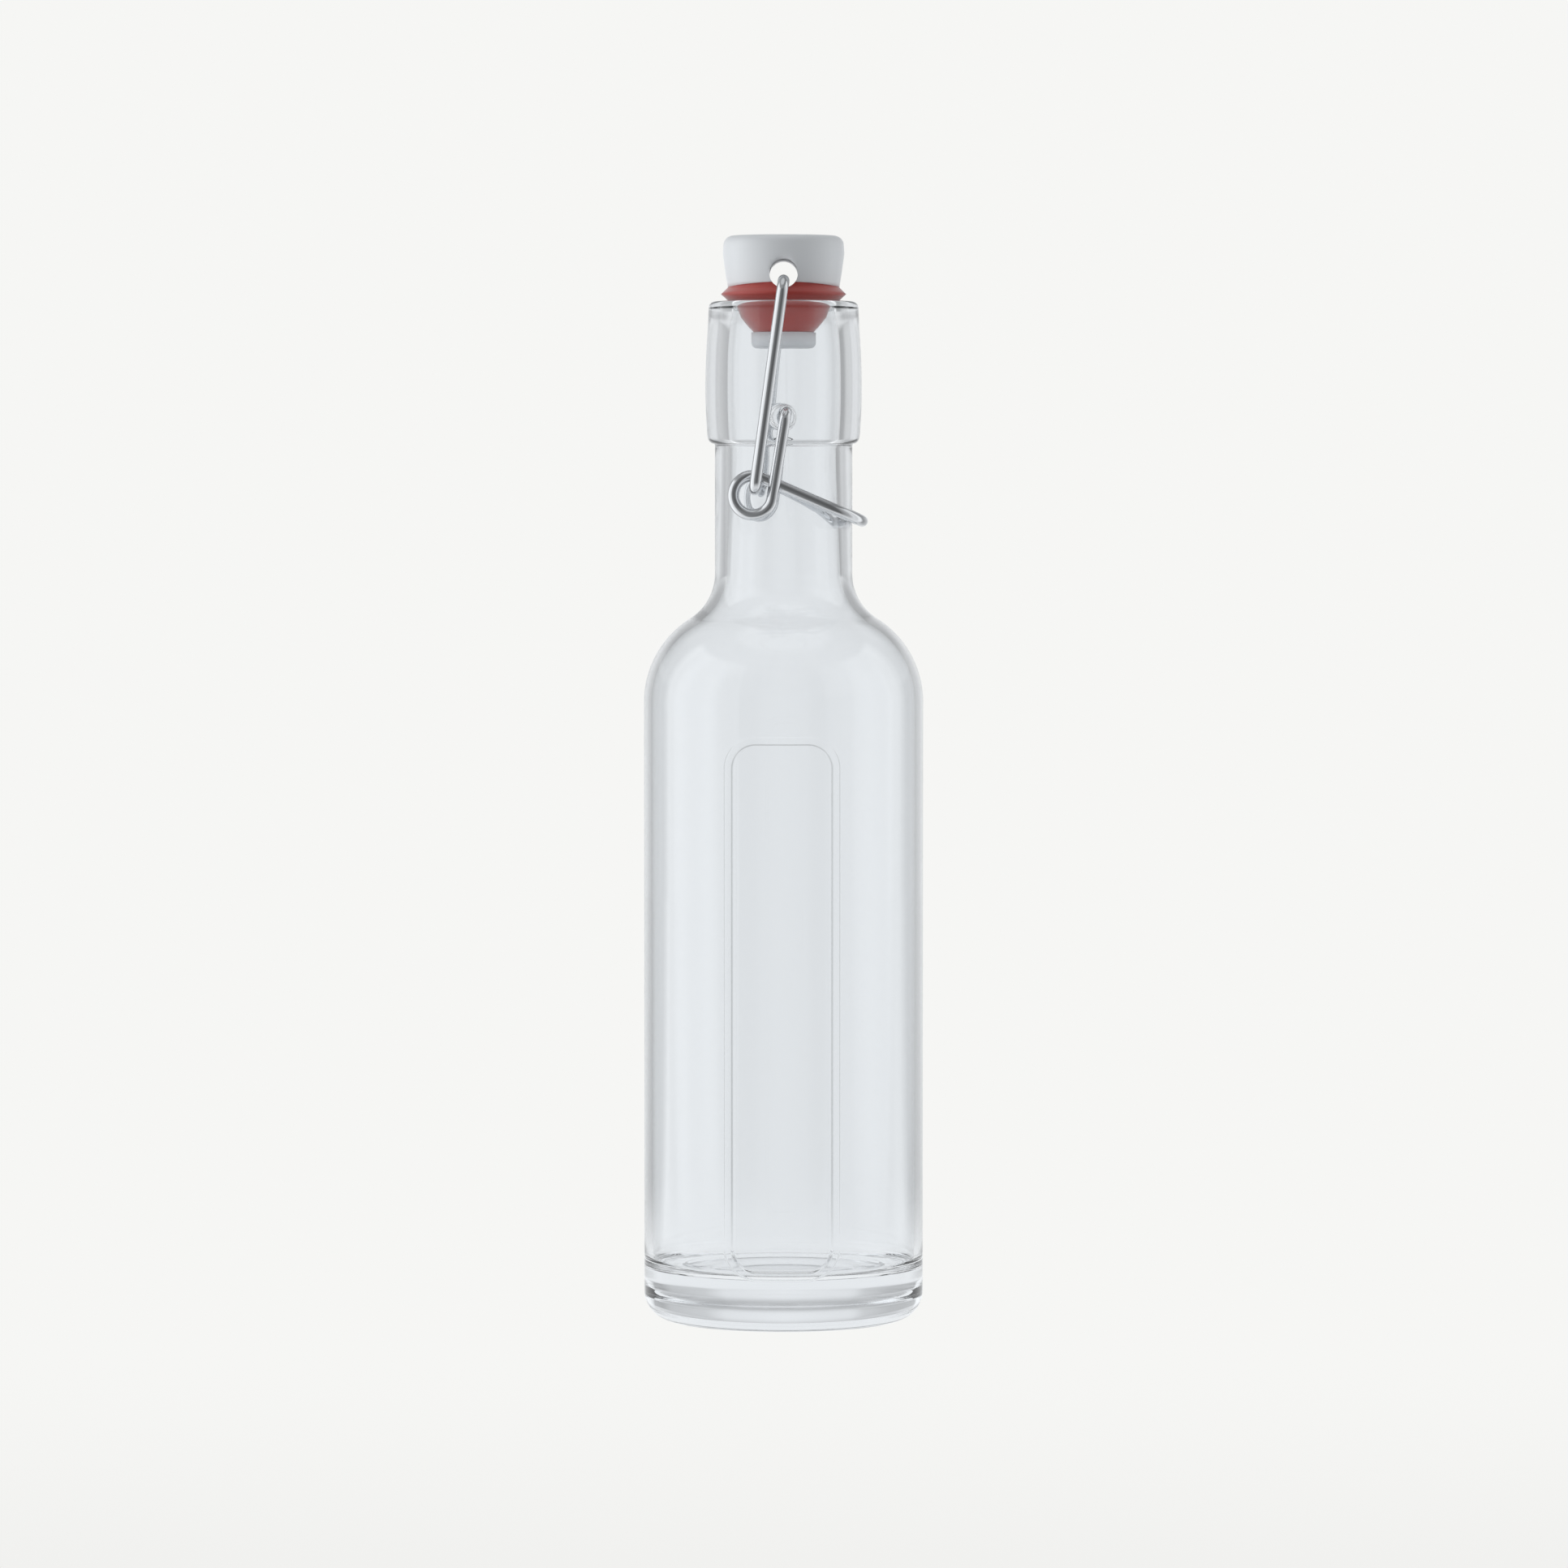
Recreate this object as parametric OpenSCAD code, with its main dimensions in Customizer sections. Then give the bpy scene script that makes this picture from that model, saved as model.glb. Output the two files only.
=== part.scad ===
// Swing top bottle, 0.5 litre: moulded glass bottle, stopper with its rubber
// gasket, and the two bent wires of the closure (bail and lever).
// Millimetres. +Z is up, the front is -Y, and the origin is on the axis at the
// height of the ring that the bottle stands on.

/* [Glass body] */
// outside diameter of the body
body_d = 68; // [64:0.5:72]
// height of the straight side, from the base to where the shoulder begins
side_h = 150.8; // [140:0.5:165]
// thickness of the side wall
wall = 2; // [1.8:0.1:3.5]
// radius of the rounded heel
heel_r = 6.9; // [4:0.1:9]
// height of the inside floor at its edge
floor_z = 12.7; // [9:0.1:16]
// rise of the push-up under the base
push_up = 3.6; // [2:0.1:6]

/* [Shoulder and neck] */
// radius of the round shoulder
shoulder_r = 23.9; // [20:0.1:27]
// radius of the hollow curve from shoulder to neck
neck_blend_r = 13; // [9:0.1:18]
// outside diameter of the neck
neck_d = 33.4; // [32:0.1:33.4]
// thickness of the neck wall at the foot of the neck
neck_wall = 2.9; // [2.6:0.1:4]
// how much thicker the neck wall is under the ring
neck_taper = 1; // [0:0.1:1.2]

/* [Finish] */
// height of the lip that the gasket seals on
lip_z = 248; // [246:0.1:250]
// height of the thick ring round the mouth
finish_h = 34.5; // [33:0.1:36]
// largest diameter of that ring
finish_d = 38; // [37:0.1:38.4]
// diameter of the mouth
mouth_d = 24.7; // [24.2:0.1:25.4]
// diameter of the two dimples that hold the lever
dimple_d = 5.8; // [5.4:0.1:6.4]
// distance between the floors of the two dimples
dimple_gap = 32.4; // [31.4:0.1:32.8]

/* [Raised frame on the front] */
// width of the raised frame
frame_w = 27.7; // [20:0.1:34]
// height of the raised frame
frame_h = 129.6; // [100:0.5:132]
// height of the middle of the raised frame
frame_mid_z = 78.4; // [76:0.1:80]
// width of the raised line
frame_line = 1.85; // [1:0.05:3]
// outside corner radius of the raised frame
frame_corner_r = 7.5; // [4:0.1:10]
// height of the raised line above the glass
frame_rise = 0.45; // [0.2:0.05:0.8]

/* [Stopper] */
// diameter of the head
head_d = 29.5; // [28:0.1:30]
// height of the head above its seat on the gasket
head_h = 12.4; // [11:0.1:15]
// diameter of the hole across the head
bore_d = 6.9; // [6.2:0.1:7.4]
// diameter of the stem through the gasket
stem_d = 12; // [10:0.1:13]
// diameter of the disc that ends the stem
disc_d = 15.7; // [14.5:0.1:16]
// thickness of that disc
disc_h = 4; // [3:0.1:5]

/* [Gasket] */
// thickness of the flange at its rim
flange_h = 3.5; // [3:0.1:4]
// diameter of the flange at its ridge
ridge_d = 30.4; // [29:0.1:31]
// diameter of the plug where it enters the mouth
plug_d = 23; // [22:0.1:23.2]
// diameter of the plug at its foot
plug_foot_d = 14.4; // [14:0.1:16]
// how far the plug reaches below the lip
plug_h = 7.5; // [6.5:0.1:8]
// rise of the saddle between gasket and head
saddle_rise = 1; // [0.4:0.1:1.4]

/* [Wires] */
// diameter of both wires
wire_d = 2.8; // [2.4:0.1:2.8]
// bend radius at the pins and hooks, on the centre line
pin_bend_r = 2.8; // [2.6:0.1:3.2]
// radius of the coiled eyes, on the centre line
eye_r = 4.7; // [4.6:0.05:4.9]
// bend radius at the corners of the handle, on the centre line
handle_bend_r = 9; // [6:0.5:12]
// bend radius at the top of the bail, on the centre line
bail_bend_r = 4; // [3:0.1:6]
// gap between wires that cross
wire_gap = 0.3; // [0.2:0.05:0.4]

/* [Hidden] */
$fn = 64;
// small overlap that makes cuts and joins clean
eps = 0.01;

// Glass profile.
body_r = body_d / 2;
neck_r = neck_d / 2;
inner_r = body_r - wall;
inner_neck_r = neck_r - neck_wall;
mouth_r = mouth_d / 2;
finish_r = finish_d / 2;
ring_z = lip_z - finish_h;
foot_r = body_r - heel_r;
foot_land = 3;
floor_rise = 0.9;
inner_heel_r = 3.4;
floor_step_r = 24.3;
lip_corner_r = 1.6;
mouth_corner_r = 0.9;
ring_step = 1.3;
lip_taper = 0.8;
ring_waist_z = ring_z + 12.5;
throat_r = mouth_r + 1.35;
inner_shoulder_r = inner_r - (body_r - shoulder_r);
inner_blend_r = neck_blend_r + neck_wall;
shoulder_rise = blend_rise(shoulder_r, neck_blend_r, body_r, neck_r);
inner_rise = blend_rise(inner_shoulder_r, inner_blend_r, inner_r, inner_neck_r);
dimple_floor_y = dimple_gap / 2;
dimple_chamfer = 0.5;

// Stopper and gasket.
seat_z = lip_z + flange_h;
head_r = head_d / 2;
head_foot_r = head_r - 1.15;
head_corner_r = 2.4;
disc_top_z = lip_z - plug_h;
disc_corner_r = 1.4;
bore_chamfer = 0.8;
saddle_edge = 13.4;
saddle_r = (saddle_edge * saddle_edge + saddle_rise * saddle_rise) / (2 * saddle_rise);
saddle_top_z = seat_z + saddle_rise;
lip_gap = 0.05;

// Linkage, seen from the front, as [x, z] of each axis that runs along Y. All of
// it keeps its place from the lip that the gasket seals on.
dimple_at = [-0.1, lip_z - 28.1];
lever_at = [0.6, lip_z - 27.1];
eye_at = [-7.4, lip_z - 46.9];
hook_at = [-6.95, lip_z - 45.5];
handle_at = [19, lip_z - 53.2];
bail_at = [0, seat_z + 1.1];
bore_at = [0, seat_z + 3];

// Wires: distance of each wire from the middle plane, on the centre line.
wire_r = wire_d / 2;
arm_y = neck_r + wire_gap + wire_r;
leg_y = arm_y + wire_d + wire_gap / 2;
bail_y = leg_y + wire_d + wire_gap;
pin_tip_y = dimple_floor_y + 0.4;
hook_tip_y = neck_r + wire_gap;

// Lever: where its straight leg and its arm touch the round of the eye.
leg_reach = tangent_length(lever_at, eye_at, eye_r);
leg_dir = heading(lever_at, eye_at) + tangent_turn(lever_at, eye_at, eye_r);
arm_reach = tangent_length(handle_at, eye_at, eye_r);
arm_dir = heading(handle_at, eye_at) - tangent_turn(handle_at, eye_at, eye_r);
eye_from = leg_dir + 90;
eye_to = arm_dir - 90;
eye_turn = eye_from - eye_to + (eye_to > eye_from ? 360 : 0);
eye_sides = 20;
eye_steps = 40;

// Bends and eyes are a hair thinner than the straight wire, and reach into it.
bend_wire_r = wire_r - 0.015;
bend_lap = 0.15;

bail_dir = heading(bail_at, hook_at);
bail_len = norm(hook_at - bail_at);

function heading(from, to) = atan2(to[1] - from[1], to[0] - from[0]);
function tangent_length(from, to, r) = sqrt(pow(norm(to - from), 2) - r * r);
function tangent_turn(from, to, r) = asin(r / norm(to - from));

// Height between the centres of a round shoulder and the hollow that meets it.
function blend_rise(convex, hollow, outer, inner) =
    sqrt(pow(convex + hollow, 2) - pow(inner + hollow - outer + convex, 2));

// Points on an arc, from one angle to another.
function arc(cx, cy, r, a0, a1, n) =
    [for (i = [0 : n]) let (a = a0 + (a1 - a0) * i / n) [cx + r * cos(a), cy + r * sin(a)]];

// Where the round shoulder hands over to the hollow curve, as an angle.
function blend_angle(rise, outer, inner, convex, hollow) =
    atan2(rise, inner + hollow - outer + convex);

function outer_profile() =
    let (turn = blend_angle(shoulder_rise, body_r, neck_r, shoulder_r, neck_blend_r))
    concat(
        arc(foot_r, heel_r, heel_r, -90, 0, 8),
        arc(body_r - shoulder_r, side_h, shoulder_r, 0, turn, 10),
        arc(neck_r + neck_blend_r, side_h + shoulder_rise, neck_blend_r, 180 + turn, 180, 8),
        [[neck_r, ring_z]],
        arc(finish_r - ring_step - 0.35, ring_z + 1.4, 1.4, -70, -10, 3),
        [
            [finish_r - 0.45, ring_z + 4],
            [finish_r - 0.1, ring_z + 8],
            [finish_r, ring_waist_z],
            [finish_r - lip_taper * 0.3, ring_waist_z + 10]
        ],
        arc(finish_r - lip_taper - lip_corner_r, lip_z - lip_corner_r, lip_corner_r, 0, 90, 5)
    );

function inner_profile() =
    let (turn = blend_angle(inner_rise, inner_r, inner_neck_r, inner_shoulder_r, inner_blend_r))
    concat(
        arc(mouth_r + mouth_corner_r, lip_z - mouth_corner_r, mouth_corner_r, 90, 180, 4),
        [
            [mouth_r + 0.75, lip_z - 6],
            [throat_r, lip_z - 16],
            [throat_r, ring_waist_z - 4],
            [inner_neck_r - neck_taper * 0.5, ring_z + 1],
            [inner_neck_r - neck_taper, ring_z - 3.5],
            [inner_neck_r - neck_taper * 0.35, ring_z - 22]
        ],
        arc(inner_neck_r + inner_blend_r, side_h + inner_rise, inner_blend_r, 180, 180 + turn, 8),
        arc(inner_r - inner_shoulder_r, side_h, inner_shoulder_r, turn, 0, 10),
        arc(inner_r - inner_heel_r, floor_z + inner_heel_r, inner_heel_r, 0, -90, 5),
        [
            [floor_step_r + 0.5, floor_z + 0.05],
            [floor_step_r - 0.5, floor_z + floor_rise * 0.4],
            [inner_r * 0.5, floor_z + floor_rise * 0.75],
            [0, floor_z + floor_rise]
        ]
    );

function underside() =
    let (edge = foot_r - foot_land)
    [
        [0, push_up],
        [edge * 0.5, push_up * 0.9],
        [edge * 0.8, push_up * 0.55],
        [edge - 1.2, push_up * 0.18],
        [edge, 0]
    ];

module bottle() {
    color([0.88, 0.91, 0.92, 0.35])
    difference() {
        union() {
            rotate_extrude(convexity = 8)
                polygon(concat(underside(), outer_profile(), inner_profile()));
            raised_frame();
        }
        for (side = [0, 180]) {
            dimple(side);
        }
    }
}

// Blind round dimple in the thick ring, one at the front and one at the back.
module dimple(side) {
    mouth_y = sqrt(finish_r * finish_r - dimple_d * dimple_d / 4);
    translate([dimple_at[0], 0, dimple_at[1]])
    rotate([90, 0, 0])
    mirror([0, 0, side > 0 ? 1 : 0]) {
        translate([0, 0, dimple_floor_y])
            cylinder(d = dimple_d, h = body_r);
        translate([0, 0, mouth_y - dimple_chamfer])
            cylinder(d1 = dimple_d, d2 = dimple_d + 6 * dimple_chamfer, h = 3 * dimple_chamfer);
    }
}

// Raised line round the bare panel on the front of the body.
module raised_frame() {
    intersection() {
        translate([0, 0, frame_mid_z])
        rotate([90, 0, 0])
        linear_extrude(body_d)
        difference() {
            rounded_panel(frame_w, frame_h, frame_corner_r);
            rounded_panel(
                frame_w - 2 * frame_line,
                frame_h - 2 * frame_line,
                frame_corner_r - frame_line
            );
        }
        difference() {
            cylinder(r = body_r + frame_rise, h = side_h);
            translate([0, 0, -eps])
                cylinder(r = body_r - wall / 4, h = side_h + 2 * eps);
        }
    }
}

module rounded_panel(w, h, r) {
    square([w - 2 * r, h], center = true);
    square([w, h - 2 * r], center = true);
    for (x = [-1, 1], y = [-1, 1]) {
        translate([x * (w / 2 - r), y * (h / 2 - r)])
            circle(r);
    }
}

module stopper() {
    top_z = seat_z + head_h;
    color([0.93, 0.94, 0.95])
    difference() {
        union() {
            difference() {
                rotate_extrude(convexity = 4)
                    polygon(concat(
                        [[0, seat_z - saddle_rise], [head_foot_r, seat_z - saddle_rise]],
                        [[head_foot_r, seat_z], [head_r - 0.6, seat_z + 3.6]],
                        [[head_r, seat_z + 8]],
                        arc(head_r - head_corner_r - 0.1, top_z - head_corner_r,
                            head_corner_r, 10, 90, 6),
                        [[0, top_z]]
                    ));
                saddle();
            }
            rotate_extrude()
                polygon(concat(
                    [[0, disc_top_z - disc_h]],
                    arc(disc_d / 2 - disc_corner_r, disc_top_z - disc_h + disc_corner_r,
                        disc_corner_r, -90, 0, 4),
                    [[disc_d / 2, disc_top_z], [stem_d / 2, disc_top_z]],
                    [[stem_d / 2, seat_z + 2.4], [0, seat_z + 2.4]]
                ));
        }
        head_bore();
        for (side = [0, 1]) {
            mirror([0, side, 0])
            translate([bore_at[0], -head_r + 0.9, bore_at[1]])
            rotate([90, 0, 0])
                cylinder(d1 = bore_d, d2 = bore_d + 2 * bore_chamfer, h = bore_chamfer);
        }
    }
}

// Long round that the head and the gasket share where they meet.
module saddle() {
    translate([0, head_d, saddle_top_z - saddle_r])
    rotate([90, 0, 0])
        cylinder(r = saddle_r, h = 2 * head_d, $fn = 360);
}

// Hole that the bail passes through; it just grazes the top of the gasket.
module head_bore() {
    translate([bore_at[0], head_d, bore_at[1]])
    rotate([90, 0, 0])
        cylinder(d = bore_d, h = 2 * head_d);
}

module gasket() {
    ridge_r = ridge_d / 2;
    plug_r = plug_d / 2;
    foot = plug_foot_d / 2;
    rest_z = lip_z + lip_gap;
    color([0.48, 0.17, 0.15])
    difference() {
        intersection() {
            rotate_extrude(convexity = 4)
                polygon([
                    [stem_d / 2, disc_top_z],
                    [foot, disc_top_z],
                    [foot + (plug_r - foot) * 0.45, disc_top_z + plug_h * 0.3],
                    [foot + (plug_r - foot) * 0.75, disc_top_z + plug_h * 0.56],
                    [foot + (plug_r - foot) * 0.94, disc_top_z + plug_h * 0.82],
                    [plug_r, disc_top_z + plug_h * 0.95],
                    [plug_r, rest_z],
                    [ridge_r - 1.8, rest_z],
                    [ridge_r, seat_z - flange_h * 0.5],
                    [ridge_r - 1.8, seat_z],
                    [ridge_r - 1.8, saddle_top_z],
                    [stem_d / 2, saddle_top_z]
                ]);
            union() {
                saddle();
                cylinder(r = saddle_r, h = seat_z - flange_h * 0.4);
            }
        }
        head_bore();
    }
}

// Round wire along Y, between two distances from the middle plane.
module cross_wire(at, from_y, to_y) {
    translate([at[0], from_y, at[1]])
    rotate([-90, 0, 0])
        cylinder(r = wire_r, h = to_y - from_y);
}

// Frame at a corner of a wire: X runs along the wire, Y to the middle plane.
module corner(at, y, dir) {
    translate([at[0], -y, at[1]])
    rotate([0, -dir, 0])
        children();
}

// Quarter bend from the Y direction into the X direction of a corner.
module elbow(r) {
    lap = bend_lap / r * 180 / PI;
    translate([r, r, 0])
    rotate([0, 0, 180 - lap])
    rotate_extrude(angle = 90 + 2 * lap)
    translate([r, 0])
        circle(bend_wire_r);
}

// Straight wire along X of a corner.
module straight(from_x, to_x) {
    translate([from_x, 0, 0])
    rotate([0, 90, 0])
        cylinder(r = wire_r, h = to_x - from_x);
}

// Centre of the eye's wire and its slope, at a share of the way round.
function eye_angle(t) = eye_from - eye_turn * t;
function eye_y(t) = -leg_y + (leg_y - arm_y) * t * t * (3 - 2 * t);
function eye_slope(t) =
    (leg_y - arm_y) * 6 * t * (1 - t) / (eye_r * eye_turn * PI / 180);
function eye_centre(t) =
    [eye_at[0] + eye_r * cos(eye_angle(t)), eye_y(t), eye_at[1] + eye_r * sin(eye_angle(t))];
function eye_along(t) = [sin(eye_angle(t)), 0, -cos(eye_angle(t))];

// One ring of points round the wire, moved a little along it.
function eye_ring(t, shift) =
    let (
        a = eye_angle(t),
        s = eye_slope(t),
        out = [cos(a), 0, sin(a)],
        side = ([0, 1, 0] - s * eye_along(t)) / sqrt(1 + s * s)
    )
    [for (j = [0 : eye_sides - 1])
        let (b = 360 * j / eye_sides)
        eye_centre(t) + shift * eye_along(t) + bend_wire_r * (cos(b) * out + sin(b) * side)];

// Coiled eye: one turn of wire that climbs by its own thickness.
module eye() {
    rings = concat(
        [eye_ring(0, -bend_lap)],
        [for (i = [0 : eye_steps]) eye_ring(i / eye_steps, 0)],
        [eye_ring(1, bend_lap)]
    );
    last = len(rings) - 1;
    polyhedron(
        points = [for (ring = rings, p = ring) p],
        faces = concat(
            [[for (j = [eye_sides - 1 : -1 : 0]) j]],
            [for (i = [0 : last - 1], j = [0 : eye_sides - 1])
                let (k = (j + 1) % eye_sides)
                [i * eye_sides + j, (i + 1) * eye_sides + k, (i + 1) * eye_sides + j]],
            [for (i = [0 : last - 1], j = [0 : eye_sides - 1])
                let (k = (j + 1) % eye_sides)
                [i * eye_sides + j, i * eye_sides + k, (i + 1) * eye_sides + k]],
            [[for (j = [0 : eye_sides - 1]) last * eye_sides + j]]
        ),
        convexity = 6
    );
}

// Front half of the lever: pin, leg, coiled eye, arm and corner of the handle.
module lever_side() {
    cross_wire(lever_at, -leg_y + pin_bend_r, -pin_tip_y);
    corner(lever_at, leg_y, leg_dir) {
        elbow(pin_bend_r);
        straight(pin_bend_r, leg_reach);
    }
    eye();
    corner(handle_at, arm_y, arm_dir) {
        elbow(handle_bend_r);
        straight(handle_bend_r, arm_reach);
    }
}

module lever() {
    color([0.78, 0.79, 0.8]) {
        for (side = [0, 1]) {
            mirror([0, side, 0])
                lever_side();
        }
        cross_wire(handle_at, -arm_y + handle_bend_r, arm_y - handle_bend_r);
    }
}

// Front half of the bail: corner, leg, corner and hook.
module bail_side() {
    corner(bail_at, bail_y, bail_dir) {
        elbow(bail_bend_r);
        straight(bail_bend_r, bail_len - pin_bend_r);
    }
    corner(hook_at, bail_y, bail_dir + 180)
        elbow(pin_bend_r);
    cross_wire(hook_at, -bail_y + pin_bend_r, -hook_tip_y);
}

module bail() {
    color([0.78, 0.79, 0.8]) {
        for (side = [0, 1]) {
            mirror([0, side, 0])
                bail_side();
        }
        cross_wire(bail_at, -bail_y + bail_bend_r, bail_y - bail_bend_r);
    }
}

bottle();
stopper();
gasket();
bail();
lever();
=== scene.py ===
import math

import bmesh
import bpy
import numpy as np
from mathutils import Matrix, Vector


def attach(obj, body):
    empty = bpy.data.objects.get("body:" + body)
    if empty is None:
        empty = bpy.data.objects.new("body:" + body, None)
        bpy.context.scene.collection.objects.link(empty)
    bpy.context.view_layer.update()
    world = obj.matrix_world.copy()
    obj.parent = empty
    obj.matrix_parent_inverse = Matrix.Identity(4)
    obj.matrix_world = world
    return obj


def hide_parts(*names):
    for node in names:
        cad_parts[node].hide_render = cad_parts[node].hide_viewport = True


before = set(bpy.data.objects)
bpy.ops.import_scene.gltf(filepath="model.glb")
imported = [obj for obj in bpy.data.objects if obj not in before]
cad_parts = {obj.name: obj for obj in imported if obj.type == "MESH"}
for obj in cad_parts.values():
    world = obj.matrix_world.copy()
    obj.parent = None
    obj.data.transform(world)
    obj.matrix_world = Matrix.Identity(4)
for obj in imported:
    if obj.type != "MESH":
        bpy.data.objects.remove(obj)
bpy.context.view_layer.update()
mm = 0.001
print("frame loaded")


class Sock:
    # a node's output that takes part in Python sums

    def __init__(self, owner, out):
        self.owner = owner
        self.out = out

    def maths(self, operation, a, b=0.0):
        return self.owner.node("ShaderNodeMath", {"operation": operation}, {0: a, 1: b})

    def __add__(self, other):
        return self.maths("ADD", self, other)

    def __radd__(self, other):
        return self.maths("ADD", other, self)

    def __sub__(self, other):
        return self.maths("SUBTRACT", self, other)

    def __rsub__(self, other):
        return self.maths("SUBTRACT", other, self)

    def __mul__(self, other):
        return self.maths("MULTIPLY", self, other)

    def __rmul__(self, other):
        return self.maths("MULTIPLY", other, self)

    def __truediv__(self, other):
        return self.maths("DIVIDE", self, other)

    def __rtruediv__(self, other):
        return self.maths("DIVIDE", other, self)

    def __abs__(self):
        return self.maths("ABSOLUTE", self)

    def atLeast(self, other):
        return self.maths("MAXIMUM", self, other)

    def atMost(self, other):
        return self.maths("MINIMUM", self, other)

    def angle(self, other):
        return self.maths("ARCTAN2", self, other)


class Finish:
    # the nodes of one material or world

    def __init__(self, owner):
        owner.use_nodes = True
        self.tree = owner.node_tree
        self.tree.nodes.clear()

    def node(self, kind, settings=None, sockets=None, out=0):
        made = self.tree.nodes.new(kind)
        for key, value in (settings or {}).items():
            if key == "stops":
                ramp = made.color_ramp
                while len(ramp.elements) > 1:
                    ramp.elements.remove(ramp.elements[-1])
                ramp.elements[0].position, ramp.elements[0].color = value[0]
                for place, colour in value[1:]:
                    ramp.elements.new(place).color = colour
            else:
                setattr(made, key, value)
        for key, value in (sockets or {}).items():
            if isinstance(value, Sock):
                self.tree.links.new(value.out, made.inputs[key])
            else:
                made.inputs[key].default_value = value
        return Sock(self, made.outputs[out])

    def place(self):
        # where a point lies on the object, in metres
        return self.node("ShaderNodeTexCoord", out=3)

    def axis(self, vector, number):
        return self.node("ShaderNodeSeparateXYZ", {}, {0: vector}, out=number)

    def ray(self, number):
        # the kind of ray that is asking: 0 from the camera, 6 through a clear surface
        return self.node("ShaderNodeLightPath", out=number)

    def noise(self, scale, detail):
        return self.node("ShaderNodeTexNoise", {},
                         {"Vector": self.place(), "Scale": scale, "Detail": detail})

    def mix(self, share, a, b):
        return self.node("ShaderNodeMix", {"data_type": "RGBA"}, {0: share, 6: a, 7: b}, out=2)

    def bump(self, height, strength, distance):
        return self.node("ShaderNodeBump", {},
                         {"Strength": strength, "Distance": distance, "Height": height})

    def step(self, value, low, high):
        # smooth step from 0 at low to 1 at high
        return self.node("ShaderNodeMapRange", {"interpolation_type": "SMOOTHSTEP"},
                         {0: value, 1: low, 2: high, 3: 0.0, 4: 1.0})

    def shader(self, **sockets):
        named = {key.replace("_", " "): value for key, value in sockets.items()}
        return self.node("ShaderNodeBsdfPrincipled", {}, named)

    def finish(self, kind="ShaderNodeOutputMaterial", **ends):
        last = self.tree.nodes.new(kind)
        for key, value in ends.items():
            self.tree.links.new(value.out, last.inputs[key])


glassLook = {
    "colour": (0.917, 0.927, 0.936, 1),         # what one wall lets through
    "ior": 1.5,
    "depthColour": (0.76, 0.785, 0.82, 1),      # tint of thick glass
    "depthTint": 5,
    "ripple": (38, 1.0),                        # slow ripple of moulded glass: scale and detail
    "rippleBump": (0.006, 0.002),               # its strength, and its height in metres
}


def clearGlass():
    look = glassLook
    mat = bpy.data.materials.new("clearGlass")
    f = Finish(mat)
    ripple = f.bump(f.noise(*look["ripple"]), *look["rippleBump"])
    glass = f.shader(Base_Color=look["colour"], Transmission_Weight=1.0, IOR=look["ior"], Roughness=0.0,
                     Normal=ripple)
    tint = f.node("ShaderNodeVolumeAbsorption", {},
                  {"Color": look["depthColour"], "Density": look["depthTint"]})
    f.finish(Surface=glass, Volume=tint)
    return mat


stopperLook = {
    "colour": (0.93, 0.95, 0.97, 1),
    "shade": (0.90, 0.92, 0.94, 1),
    "ior": 1.49,
    "cloud": (60, 3.0),                         # scale and detail of the slow changes
    "roughness": 0.27,
    "roughnessSpread": 0.12,
    "grain": (1800, 2.0),
    "grainBump": (0.08, 0.0002),                # strength, and height in metres
}


def whiteMoulding():
    look = stopperLook
    mat = bpy.data.materials.new("whiteMoulding")
    f = Finish(mat)
    cloud = f.noise(*look["cloud"])
    grain = f.bump(f.noise(*look["grain"]), *look["grainBump"])
    f.finish(Surface=f.shader(
        Base_Color=f.mix(cloud, look["colour"], look["shade"]), IOR=look["ior"], Normal=grain,
        Roughness=look["roughness"] + cloud * look["roughnessSpread"]))
    return mat


rubberLook = {
    "colour": (0.54, 0.05, 0.039, 1),
    "pale": (0.60, 0.10, 0.08, 1),
    "paleShare": 0.6,
    "ior": 1.52,
    "cloud": (220, 4.0),
    "roughness": 0.33,
    "roughnessSpread": 0.15,
    "grain": (2600, 2.0),
    "grainBump": (0.15, 0.0002),
    "bloom": 0.9,                               # dusty sheen of rubber
    "bloomRoughness": 0.4,
}


def redRubber():
    look = rubberLook
    mat = bpy.data.materials.new("redRubber")
    f = Finish(mat)
    cloud = f.noise(*look["cloud"])
    grain = f.bump(f.noise(*look["grain"]), *look["grainBump"])
    f.finish(Surface=f.shader(
        Base_Color=f.mix(cloud * look["paleShare"], look["colour"], look["pale"]), Normal=grain,
        Roughness=look["roughness"] + cloud * look["roughnessSpread"], IOR=look["ior"],
        Sheen_Weight=look["bloom"], Sheen_Roughness=look["bloomRoughness"]))
    return mat


wireLook = {
    "colour": (0.68, 0.69, 0.705, 1),
    "roughness": 0.12,
    "roughnessSpread": 0.06,
    "cloud": (400, 3.0),
}


def brightWire():
    look = wireLook
    mat = bpy.data.materials.new("brightWire")
    f = Finish(mat)
    cloud = f.noise(*look["cloud"])
    f.finish(Surface=f.shader(
        Base_Color=look["colour"], Metallic=1.0,
        Roughness=look["roughness"] + cloud * look["roughnessSpread"]))
    return mat


def dress(piece, mat, body, node, sharp):
    # finish, edges and place in the assembly of one visible piece; an edge that turns by
    # more than the sharp angle stays crisp
    bpy.context.scene.collection.objects.link(piece)
    piece.data.materials.clear()
    piece.data.materials.append(mat)
    piece.data.shade_smooth()
    piece.data.set_sharp_from_angle(angle=math.radians(sharp))
    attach(piece, body)
    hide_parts(node)


def meshPiece(name, points, faces):
    # points that no face uses are left out
    used = sorted({v for face in faces for v in face})
    number = {v: n for n, v in enumerate(used)}
    mesh = bpy.data.meshes.new(name)
    mesh.from_pydata([points[v] for v in used], [], [[number[v] for v in face] for face in faces])
    mesh.update()
    return bpy.data.objects.new(name, mesh)


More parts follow.
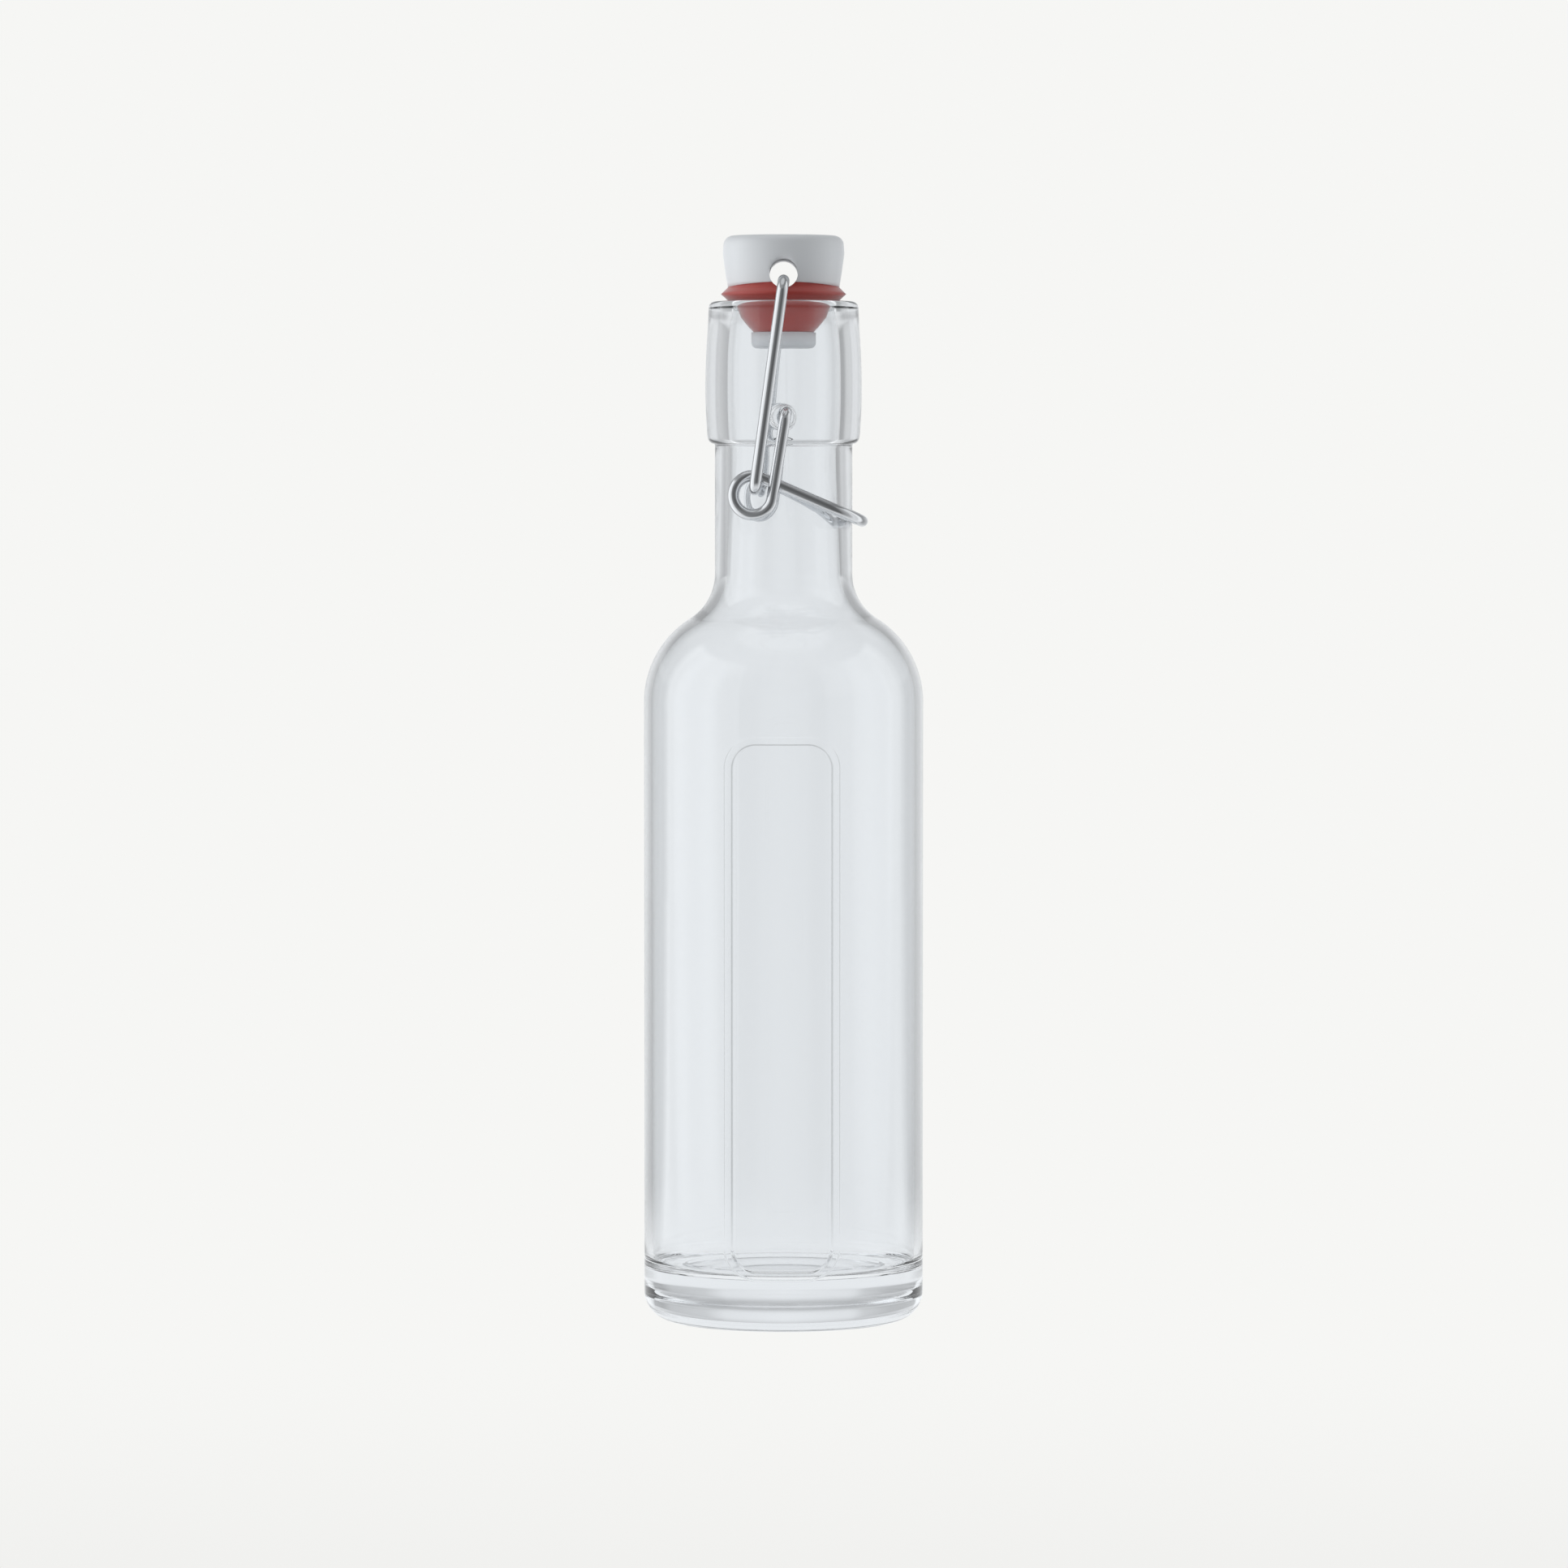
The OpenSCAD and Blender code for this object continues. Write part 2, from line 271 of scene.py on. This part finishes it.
def arcPoints(cx, cy, r, start, end, steps):
    turn = [math.radians(start + (end - start) * i / steps) for i in range(steps + 1)]
    return [(cx + r * math.cos(a), cy + r * math.sin(a)) for a in turn]


def smoothLine(points, steps):
    # Catmull-Rom curve through the points, first and last included
    p = [np.array(q, float) for q in points]
    p = [2 * p[0] - p[1]] + p + [2 * p[-1] - p[-2]]
    made = []
    for i in range(1, len(p) - 2):
        for t in (k / steps for k in range(steps)):
            made.append(tuple(0.5 * (2 * p[i] + (p[i + 1] - p[i - 1]) * t
                        + (2 * p[i - 1] - 5 * p[i] + 4 * p[i + 1] - p[i + 2]) * t * t
                        + (3 * p[i] - p[i - 1] - 3 * p[i + 1] + p[i + 2]) * t ** 3)))
    return made + [tuple(points[-1])]


def spread(*parts):
    # values in order, each part as (from, to, step)
    made = []
    for low, high, step in parts:
        count = max(1, round((high - low) / step))
        made += [low + (high - low) * i / count for i in range(count)]
    return made + [parts[-1][1]]


# bottle: sizes in mm, heights above the surface it stands on
bottleShape = {
    "bodyR": 34.0,
    "sideH": 150.8,
    "heelR": 6.9,
    "shoulderR": 23.9,
    "neckBlendR": 13.0,
    "neckR": 16.7,
    "wall": 2.0,
    "neckWall": 2.9,
    "floorZ": 12.7,
    "innerHeelR": 3.4,
    "lipZ": 248.0,
    "lipR": 18.2,
    "lipRound": 1.6,
    "finishH": 34.5,
    "finishR": 19.0,
    "mouthR": 12.35,
    "mouthRound": 0.9,
    # radius and height, from the middle of the push-up to the ring that it stands on
    "underside": ((0, 3.6), (8, 3.5), (15, 3.0), (19.5, 1.9), (22.4, 0.7), (24.2, 0.1), (25.4, 0.0)),
    # radius and height above the foot of the ring round the mouth
    "ringFoot": ((16.7, -0.5), (16.95, -0.02), (17.45, 0.1), (18.15, 0.75), (18.5, 1.9), (18.66, 4),
                 (18.9, 8)),
    "ringSide": ((18.9, 8), (19.0, 12.5), (18.93, 18), (18.72, 23), (18.43, 28), (18.2, 32.9)),
    # radius and depth below the lip, inside the ring and the neck
    "throat": ((12.35, 1.0), (12.7, 3.2), (13.12, 6), (13.65, 13), (13.75, 23.5), (13.6, 29.5), (13.3, 33.5),
               (12.8, 38), (13.1, 46.5), (13.45, 56.5)),
    # radius and height above the floor at its edge, inside
    "floorLine": ((27.8, 0.01), (26.2, 0), (24.8, 0.06), (23.8, 0.34), (22.4, 0.46), (15, 0.7), (7, 0.85),
                  (0, 0.9)),
    "dimple": (-0.1, 219.9),                    # middle of both dimples
    "dimpleFloor": 16.2,                        # from the bottle's axis
    "dimpleRimR": 3.55,
    "dimpleMargin": 0.75,                       # from the rim out to the open patch of the grid
    "ringBand": (214.5, 246),                   # heights between which the ring's side is smooth
    "frameHalf": (13.99, 65.32),                # half the width and half the height, outside
    "frameMid": (-0.38, 78.4),
    "frameLine": 2.29,                          # width of the raised line
    "frameCornerR": 7.8,
    "frameRise": 0.42,
    "frameCrown": 0.03,                         # how far the top falls to its edges, as a share
    "frameFlank": 0.46,                         # width of each sloped side
    "rowSteps": (1.6, 10.0, 3.0),               # between rows below, beside and above the frame
    "endRows": (0.3, 8.1, 0.155),               # close rows: past the frame's end, inward, and their step
    "closeColumns": (5.9, 14.9),                # from here to there on both sides of the middle
    "closeTurn": 0.25,                          # and how far apart they are, in degrees
    "dimpleTurn": 1.1,
    "plainTurn": 2.8,
    "innerTurn": 2.2,
    "backColumns": (166, 194),                  # degrees round the dimple at the back
}


def shoulderJoin(bodyR, neckR, shoulderR, blendR):
    # height between the two arcs' centres, and the angle at which the arcs meet
    across = neckR + blendR - bodyR + shoulderR
    rise = math.sqrt((shoulderR + blendR) ** 2 - across ** 2)
    return rise, math.degrees(math.atan2(rise, across))


def outerLine(s):
    # radius and height from the middle of the underside up to the lip
    bodyR, neckR, ringZ = s["bodyR"], s["neckR"], s["lipZ"] - s["finishH"]
    rise, turn = shoulderJoin(bodyR, neckR, s["shoulderR"], s["neckBlendR"])
    line = smoothLine(s["underside"], steps=4)
    line += arcPoints(bodyR - s["heelR"], s["heelR"], s["heelR"], -90, 0, steps=18)
    # rows lie close together where they cross the top and the foot of the raised frame
    low, high = (s["frameMid"][1] + side * s["frameHalf"][1] for side in (-1, 1))
    past, inward, close = s["endRows"]
    foot, beside, above = s["rowSteps"]
    line += [(bodyR, z) for z in spread((s["heelR"] + foot, low - past, foot),
                                        (low - past, low + inward, close),
                                        (low + inward, high - inward, beside),
                                        (high - inward, high + past, close),
                                        (high + past, s["sideH"] - 1, above))]
    line += arcPoints(bodyR - s["shoulderR"], s["sideH"], s["shoulderR"], 0, turn, steps=22)
    line += arcPoints(neckR + s["neckBlendR"], s["sideH"] + rise, s["neckBlendR"], 180 + turn, 180,
                      steps=14)[1:]
    line += [(neckR, z) for z in np.linspace(s["sideH"] + rise + 2, ringZ - 1.2, 6)]
    line += smoothLine([(r, ringZ + up) for r, up in s["ringFoot"]], steps=4)[:-1]
    line += smoothLine([(r, ringZ + up) for r, up in s["ringSide"]], steps=8)[:-1]
    line += arcPoints(s["lipR"] - s["lipRound"], s["lipZ"] - s["lipRound"], s["lipRound"], 0, 90, steps=12)
    return line


def innerLine(s):
    # radius and height from the lip down to the middle of the floor
    innerR, neckR = s["bodyR"] - s["wall"], s["neckR"] - s["neckWall"]
    shoulderR, blendR = s["shoulderR"] - s["wall"], s["neckBlendR"] + s["neckWall"]
    rise, turn = shoulderJoin(innerR, neckR, shoulderR, blendR)
    lipZ, lipRound, floorZ, heelR = s["lipZ"], s["mouthRound"], s["floorZ"], s["innerHeelR"]
    line = arcPoints(s["mouthR"] + lipRound, lipZ - lipRound, lipRound, 90, 180, steps=8)
    line += smoothLine([(r, lipZ - down) for r, down in s["throat"]] + [(neckR, s["sideH"] + rise + 0.1)],
                       steps=5)[:-1]
    line += arcPoints(neckR + blendR, s["sideH"] + rise, blendR, 180, 180 + turn, steps=14)
    line += arcPoints(innerR - shoulderR, s["sideH"], shoulderR, turn, 0, steps=22)[1:]
    line += [(innerR, z) for z in np.linspace(s["sideH"] - 4, floorZ + 7, 12)]
    line += arcPoints(innerR - heelR, floorZ + heelR, heelR, 0, -84, steps=12)
    line += smoothLine([(r, floorZ + up) for r, up in s["floorLine"]], steps=4)
    return line


def frameRise(s, x, z):
    # height of the raised line at a point of the front: steep flanks, nearly flat top
    half, cornerR = s["frameLine"] / 2, s["frameCornerR"] - s["frameLine"] / 2
    acrossX, acrossZ = (abs(at - middle) - outside + half + cornerR
                        for at, middle, outside in zip((x, z), s["frameMid"], s["frameHalf"]))
    gap = abs(math.hypot(max(acrossX, 0), max(acrossZ, 0)) + min(max(acrossX, acrossZ), 0) - cornerR)
    if gap >= half:
        return 0
    crown = s["frameRise"] * (1 - s["frameCrown"] * (gap / half) ** 2)
    t = min(1, (half - gap) / s["frameFlank"])
    return crown * t * t * (3 - 2 * t)


def thinned(turns, step):
    # numbers of the columns that are at least a step apart
    kept = [0]
    for number, turn in enumerate(turns):
        if turn - turns[kept[-1]] >= step:
            kept.append(number)
    return kept


def joinRows(faces, below, above, skip=()):
    for j in range(len(below)):
        n = (j + 1) % len(below)
        if j not in skip:
            quad = [below[j], below[n], above[n], above[j]]
            faces.append([v for i, v in enumerate(quad) if v not in quad[:i]])


dimpleSteps = (
    # between the grid and the rim; on the ring's surface, with the depth below it; and on the
    # floor of the dimple, with the height above it
    ("spread", 0.35, 0), ("spread", 0.7, 0), ("rim", 3.55, 0), ("rim", 3.3, 0.03), ("rim", 3.1, 0.14),
    ("rim", 2.96, 0.34), ("rim", 2.9, 0.7), ("floor", 2.9, 1.6), ("floor", 2.86, 0.6), ("floor", 2.7, 0.22),
    ("floor", 2.3, 0.04), ("floor", 1.4, 0),
)


def sinkDimple(s, points, faces, border, side, outer):
    # fill the opening inside the border with a round blind dimple
    dx, dz = s["dimple"]
    low, high = s["ringBand"]
    ring = [(z, r) for r, z in outer if low < z < high]
    ways = []
    for v in border:
        px, pz = points[v][0] / mm - dx, points[v][2] / mm - dz
        ways.append((math.atan2(pz, px), math.hypot(px, pz)))
    last = border
    for kind, size, depth in dimpleSteps:
        row = []
        for way, reach in ways:
            r = reach + (s["dimpleRimR"] - reach) * size if kind == "spread" else size
            x, z = dx + r * math.cos(way), dz + r * math.sin(way)
            surface = math.sqrt(np.interp(z, *zip(*ring)) ** 2 - x * x)
            y = s["dimpleFloor"] + depth if kind == "floor" else surface - depth
            points.append((x * mm, side * y * mm, z * mm))
            row.append(len(points) - 1)
        joinRows(faces, last, row)
        last = row
    points.append((dx * mm, side * s["dimpleFloor"] * mm, dz * mm))
    joinRows(faces, last, [len(points) - 1] * len(last))


def buildBottle():
    s = bottleShape
    outer, inner = outerLine(s), innerLine(s)
    # columns lie close together across the raised frame and at both dimples
    midTurn, frameTurn = (math.degrees(math.asin(x / s["bodyR"])) for x in s["closeColumns"])
    backFrom, backTo = s["backColumns"]
    close, fair, plain = s["closeTurn"], s["dimpleTurn"], s["plainTurn"]
    turns = spread((-frameTurn, -midTurn, close), (-midTurn, midTurn, fair), (midTurn, frameTurn, close),
                   (frameTurn, backFrom, plain), (backFrom, backTo, fair),
                   (backTo, 360 - frameTurn, plain))[:-1]
    points, faces = [], []

    def addRow(r, z, columns, raised=False):
        if r < 1e-6:
            points.append((0, 0, z * mm))
            return [len(points) - 1] * len(columns)
        row = []
        for turn in (math.radians(turns[j]) for j in columns):
            x, y = math.sin(turn), -math.cos(turn)
            reach = r + (frameRise(s, r * x, z) if raised and y < 0 else 0)
            points.append((reach * x * mm, reach * y * mm, z * mm))
            row.append(len(points) - 1)
        return row

    every, some = range(len(turns)), thinned(turns, s["innerTurn"])
    outerRows = [addRow(r, z, every, abs(r - s["bodyR"]) < 1e-6) for r, z in outer]
    innerRows = [addRow(r, z, some) for r, z in inner]

    # the outside, with a patch of the grid left open for each dimple
    dx, dz = s["dimple"]
    patchR = s["dimpleRimR"] + s["dimpleMargin"]
    tall = [k for k, (r, z) in enumerate(outer) if abs(z - dz) < patchR]
    patches = []
    for side in (-1, 1):
        wide = [j for j in every if -math.cos(math.radians(turns[j])) * side > 0
                and abs(s["finishR"] * math.sin(math.radians(turns[j])) - dx) < patchR]
        patches.append((side, wide))
    for k in range(len(outer) - 1):
        skipped = [j for side, wide in patches for j in wide[:-1]] if tall[0] <= k < tall[-1] else ()
        joinRows(faces, outerRows[k], outerRows[k + 1], skipped)
    for side, wide in patches:
        border = [outerRows[tall[0]][j] for j in wide[:-1]]
        border += [outerRows[k][wide[-1]] for k in tall[:-1]]
        border += [outerRows[tall[-1]][j] for j in wide[:0:-1]]
        border += [outerRows[k][wide[0]] for k in tall[:0:-1]]
        sinkDimple(s, points, faces, border, side, outer)

    # the flat lip joins the close columns outside to the wider ones inside
    for i, j in enumerate(some):
        last = some[i + 1] if i + 1 < len(some) else len(turns)
        lip = [outerRows[-1][n % len(turns)] for n in range(j, last + 1)]
        faces.append(lip + [innerRows[0][(i + 1) % len(some)], innerRows[0][i]])
    for below, above in zip(innerRows, innerRows[1:]):
        joinRows(faces, below, above)
    dress(meshPiece("bottleGlass", points, faces), clearGlass(), "bottle", "bottle", sharp=60)
    print("bottle:", len(faces), "faces")


# both wires: sizes in mm, points as (x, height) in the plane of the mechanism
wireShape = {
    "r": 1.395,
    "sides": 28,
    "armY": 18.4,                               # distances from the middle: arm of the handle,
    "legY": 21.35,                              # leg of the lever
    "bailY": 24.45,                             # and leg of the bail
    "lever": (0.6, 220.9),                      # where the lever, the eye and the handle have their
    "eye": (-7.4, 201.1),                       # middles, then the bail's hook and its shaft
    "eyeR": 4.7,
    "eyeSteps": 72,
    "handle": (19.0, 194.8),
    "hook": (-6.95, 202.5),
    "bail": (0.0, 252.6),
    "pinBend": 2.8,
    "handleBend": 9.0,
    "bailBend": 4.0,
    "pinTip": 16.6,
    "hookTip": 17.0,
    # the cut ends are rounded over: how far in, and the share of the radius there
    "ends": ((0, 0.72), (0.06, 0.88), (0.18, 0.97), (0.36, 1.0)),
}


def heading(a, b):
    return math.degrees(math.atan2(b[1] - a[1], b[0] - a[0]))


def along(at, y, way, far):
    a = math.radians(way)
    return (at[0] + far * math.cos(a), -y, at[1] + far * math.sin(a))


def elbowPoints(at, y, way, r, steps=14):
    # from the Y direction round into the direction of travel
    made = []
    for i in range(steps + 1):
        t = math.radians(90 * i / steps)
        x, _, z = along(at, y, way, r * (1 - math.cos(t)))
        made.append((x, -y + r * (1 - math.sin(t)), z))
    return made


def sweptWire(path, r, sides, ends):
    # round wire along the path; points that coincide are left out first
    line = [np.array(path[0], float)]
    for p in path[1:]:
        if math.dist(p, line[-1]) > 1e-4:
            line.append(np.array(p, float))
    heads = []
    for i in range(len(line)):
        head = line[min(i + 1, len(line) - 1)] - line[max(i - 1, 0)]
        heads.append(head / np.linalg.norm(head))
    stations = [(line[0] + heads[0] * back, heads[0], share) for back, share in ends]
    stations += [(p, head, 1.0) for p, head in zip(line[1:-1], heads[1:-1])]
    stations += [(line[-1] - heads[-1] * back, heads[-1], share) for back, share in ends[::-1]]
    side = np.cross(heads[0], (0.3, 0.2, 0.9))      # any way that isn't along the wire
    points, faces = [], []
    for p, head, share in stations:
        side = side - head * np.dot(side, head)
        side /= np.linalg.norm(side)
        other = np.cross(head, side)
        for a in (2 * math.pi * j / sides for j in range(sides)):
            points.append(tuple((p + r * share * (math.cos(a) * side + math.sin(a) * other)) * mm))
    rows = [list(range(i * sides, (i + 1) * sides)) for i in range(len(stations))]
    for below, above in zip(rows, rows[1:]):
        joinRows(faces, below, above)
    return points, faces + [rows[0][::-1], rows[-1]]


def leverPath(w):
    # pin, leg, one turn of the coiled eye, arm and half of the handle, then the same mirrored
    span, reach = math.dist(w["lever"], w["eye"]), math.dist(w["handle"], w["eye"])
    legWay = heading(w["lever"], w["eye"]) + math.degrees(math.asin(w["eyeR"] / span))
    armWay = heading(w["handle"], w["eye"]) - math.degrees(math.asin(w["eyeR"] / reach))
    legLong, armLong = (math.sqrt(far ** 2 - w["eyeR"] ** 2) for far in (span, reach))
    start = legWay + 90
    turn = (start - (armWay - 90)) % 360
    half = [(w["lever"][0], -w["pinTip"], w["lever"][1])]
    half += elbowPoints(w["lever"], w["legY"], legWay, w["pinBend"])
    half += [along(w["lever"], w["legY"], legWay, w["pinBend"] + (legLong - w["pinBend"]) * t)
             for t in (0.25, 0.5, 0.75)]
    for t in (i / w["eyeSteps"] for i in range(w["eyeSteps"] + 1)):
        y = w["legY"] - (w["legY"] - w["armY"]) * t * t * (3 - 2 * t)
        half.append(along(w["eye"], y, start - turn * t, w["eyeR"]))
    half += [along(w["handle"], w["armY"], armWay, w["handleBend"] + (armLong - w["handleBend"]) * t)
             for t in (0.75, 0.5, 0.25)]
    half += elbowPoints(w["handle"], w["armY"], armWay, w["handleBend"], steps=24)[::-1]
    return half + [(w["handle"][0], 0, w["handle"][1])] + [(x, -y, z) for x, y, z in half[::-1]]


def bailPath(w):
    # hook, leg and half of the shaft through the stopper, then the same mirrored
    down, long = heading(w["bail"], w["hook"]), math.dist(w["bail"], w["hook"])
    half = [(w["hook"][0], -w["hookTip"], w["hook"][1])]
    half += elbowPoints(w["hook"], w["bailY"], down + 180, w["pinBend"])
    half += [along(w["bail"], w["bailY"], down, w["bailBend"] + (long - w["pinBend"] - w["bailBend"]) * t)
             for t in (0.8, 0.6, 0.4, 0.2)]
    half += elbowPoints(w["bail"], w["bailY"], down, w["bailBend"], steps=20)[::-1]
    return half + [(w["bail"][0], 0, w["bail"][1])] + [(x, -y, z) for x, y, z in half[::-1]]


def buildWires():
    w = wireShape
    steel = brightWire()
    for name, path in (("lever", leverPath(w)), ("bail", bailPath(w))):
        piece = meshPiece(name + "Wire", *sweptWire(path, w["r"], w["sides"], w["ends"]))
        dress(piece, steel, name, name, sharp=50)
        print(name, "wire:", len(piece.data.polygons), "faces")


weldWithin = 0.001      # mm


def buildStopper():
    # both are turned parts: the solid's own mesh in a copy, smooth between its edges
    for node, name, mat, slotName in (("stopper", "stopperHead", whiteMoulding(), "white_stopper"),
                                      ("gasket", "gasketRubber", redRubber(), "red_rubber")):
        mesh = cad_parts[node].data.copy()
        weld = bmesh.new()
        weld.from_mesh(mesh)
        bmesh.ops.remove_doubles(weld, verts=weld.verts, dist=weldWithin * mm)
        weld.to_mesh(mesh)
        weld.free()
        piece = bpy.data.objects.new(name, mesh)
        dress(piece, mat, "stopper", node, sharp=32)
    print("stopper and gasket dressed")


studioLook = {
    "page": (0.922, 0.922, 0.906, 1),       # backdrop and floor as they are seen
    "light": (0.914, 0.931, 0.944, 1),      # what they light the object with
    # brightness round the object, by degrees to the right of straight behind it
    "front": [(-180, 0.19), (-156, 0.3), (-147, 0.38)],
    "leftBox": [(-143.5, 0.45), (-141.5, 0.95), (-126, 1.15), (-110, 1.3), (-95, 1.5), (-84, 1.38),
                (-70, 1.8), (-66, 1.3), (-62.5, 0.5)],
    "backPage": [(-46, 0.55), (-38, 0.58), (-25, 0.73), (-20.5, 0.92), (0, 1.0), (17, 0.93), (24, 0.73),
                 (42, 0.63), (50, 0.42), (59, 0.42)],
    "rightBox": [(62.5, 0.95), (70, 1.35), (76, 1.3), (86, 0.9), (102, 1.05), (113, 0.62), (138, 0.38),
                 (145, 0.18), (168, 0.15)],
    "boxTop": (0.67, 0.73),                 # sine of how high the side lights reach
    "backFrom": (0.5, 0.8),                 # the backdrop begins between these shares of straight behind
    "backTop": (0.1, 0.34),                 # it gets darker between these sines
    "backEnd": (0.46, 0.6),
    "backShade": 0.62,
    "throughMost": 1.35,                    # brightest light that shows through the glass
    "throughTop": 0.4,                      # more light from above for what shows through it
    "sidesRise": (0.1, 0.2),
    "sidesAbove": 0.86,                     # least light beside the page, from there upward
    "overhead": 0.38,
    "overheadLean": 0.15,                   # brighter from the left
    "topLight": 0.4,
    "topReach": (0.88, 0.94),
    "floorReach": 1.6,
    "floorSides": 72,
    "floorGlow": 1.02,                      # floor near the object as the glass and the metal see it
    "floorNear": (0.07, 0.36),
    "floorPaintedShade": 0.1,                       # painted shade: the floor is made a little darker toward the front
    # where the floor's painted shade begins toward the front, and how far away it is gone again
    "paintedShadeFrom": (0.04, 0.75),
    "paintedShadeEnd": (0.5, 1.2),
}


def roundLevel(f, way):
    # how bright the studio is in a direction round the object
    s = studioLook
    x, y = f.axis(way, 0), f.axis(way, 1)
    stops = [(a / 360 + 0.5, (v / 2, v / 2, v / 2, 1))
             for part in ("front", "leftBox", "backPage", "rightBox") for a, v in s[part]]
    around = [x.angle(depth) / (2 * math.pi) + 0.5 for depth in (y, abs(y))]
    plain, mirrored = (2 * f.node("ShaderNodeValToRGB", {"stops": stops}, {0: share}) for share in around)
    # what comes through the glass finds a bright page on both sides of the object
    through = f.ray(6)
    return plain * (1 - through) + plain.atLeast(mirrored).atMost(s["throughMost"]) * through


def lightWorld(s):
    world = bpy.data.worlds.new("paleStudio")
    bpy.context.scene.world = world
    f = Finish(world)
    way = f.node("ShaderNodeTexCoord")
    x, y, z = (f.axis(way, number) for number in range(3))
    seen, through = f.ray(0), f.ray(6)
    level = roundLevel(f, way).atLeast(f.step(z, *s["sidesRise"]) * through * s["sidesAbove"])
    behind = f.step(y, *s["backFrom"]) * f.step(z, *s["backTop"]) * (1 - f.step(z, *s["backEnd"]) * through)
    level = level * (1 - behind * (1 - s["backShade"]))
    high = f.step(abs(z), *s["boxTop"])
    level = level * (1 - high) + high * (s["overhead"] + through * s["throughTop"] - x * s["overheadLean"])
    level = level + f.step(z, *s["topReach"]) * s["topLight"]
    f.finish("ShaderNodeOutputWorld", Surface=f.node("ShaderNodeBackground", {}, {
        "Color": f.mix(seen, s["light"], s["page"]), "Strength": level * (1 - seen) + seen}))


def layFloor(s):
    turn = [2 * math.pi * i / s["floorSides"] for i in range(s["floorSides"])]
    ring = [(s["floorReach"] * math.cos(a), s["floorReach"] * math.sin(a), 0) for a in turn]
    floor = meshPiece("floor", ring, [list(range(len(ring)))])
    bpy.context.scene.collection.objects.link(floor)
    mat = bpy.data.materials.new("paleFloor")
    floor.data.materials.append(mat)
    f = Finish(mat)
    seen, place = f.ray(0), f.place()
    away = f.node("ShaderNodeVectorMath", {"operation": "LENGTH"}, {0: place}, out=1)
    # painted shade on the floor: what the camera sees gets a little darker toward the front, and even again
    # further away
    paintedShade = f.step(-1 * f.axis(place, 1), *s["paintedShadeFrom"]) * (1 - f.step(away, *s["paintedShadeEnd"]))
    far = f.step(away, *s["floorNear"])
    level = roundLevel(f, place) * far + (1 - far) * s["floorGlow"]
    # the camera sees the page colour with the painted shade toward the front; other rays see the floor's
    # light
    strength = seen * (1 - paintedShade * s["floorPaintedShade"]) + (1 - seen) * level
    f.finish(Surface=f.node("ShaderNodeEmission", {}, {
        "Color": f.mix(seen, s["light"], s["page"]), "Strength": strength}))


def buildStudio():
    bpy.context.scene.view_settings.view_transform = "Standard"
    bpy.context.scene.view_settings.look = "None"
    lightWorld(studioLook)
    layFloor(studioLook)
    print("studio lit")


cameraLook = {
    "far": 1.69,
    "height": 0.2125,
    "aim": (0.0001, 0, 0.1307),
    "pixelsPerTangent": 8558,
    "imageSize": 1932,
    "sensor": 36,
    "clip": (0.01, 50),
}


def buildCamera():
    look = cameraLook
    data = bpy.data.cameras.new("camera")
    camera = bpy.data.objects.new("camera", data)
    bpy.context.scene.collection.objects.link(camera)
    camera.location = (0, -look["far"], look["height"])
    camera.rotation_mode = "QUATERNION"
    camera.rotation_quaternion = (Vector(look["aim"]) - camera.location).to_track_quat("-Z", "Y")
    data.sensor_width = look["sensor"]
    data.lens = data.sensor_width * look["pixelsPerTangent"] / look["imageSize"]
    data.clip_start, data.clip_end = look["clip"]
    bpy.context.scene.camera = camera
    print("camera set")


buildBottle()
buildWires()
buildStopper()
buildStudio()
buildCamera()
